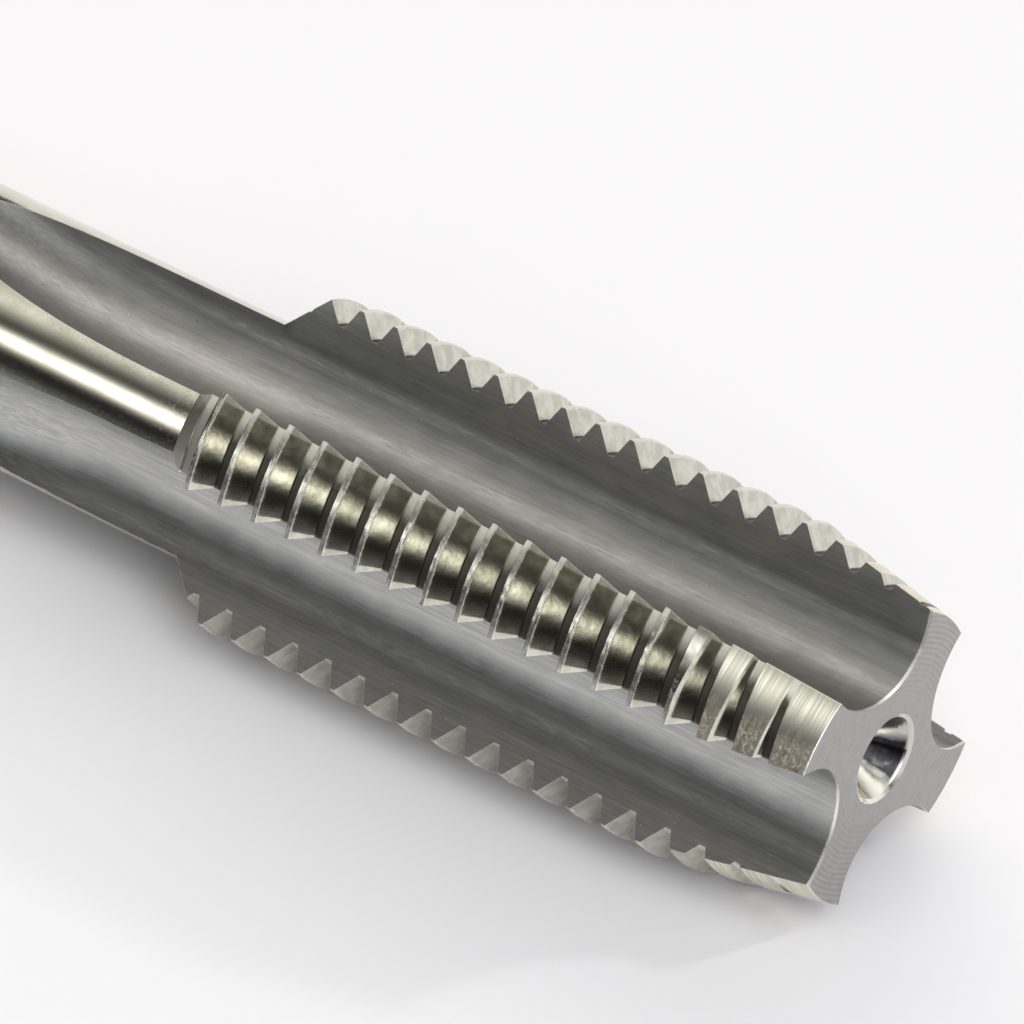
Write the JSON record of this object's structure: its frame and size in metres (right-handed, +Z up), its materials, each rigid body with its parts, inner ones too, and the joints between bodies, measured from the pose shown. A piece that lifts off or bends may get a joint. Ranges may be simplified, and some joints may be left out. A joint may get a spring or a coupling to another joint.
{
  "type": "machine tap",
  "caption": "Straight-fluted right-hand machine tap for a fine thread, with a relieved chamfer, round shank, driving square and centre holes.",
  "frame": {"origin": "on the surface the tap lies on, straight below the middle of its axis", "axes": "+X along the tap's axis from the shank to the tip, +Z up"},
  "size_m": [0.085, 0.0098, 0.0097],
  "materials": {
    "tool_steel": "ground bright high-speed steel, darker in the flutes"
  },
  "bodies": {
    "root": {"tap": "tool_steel"}
  },
  "joints": []
}
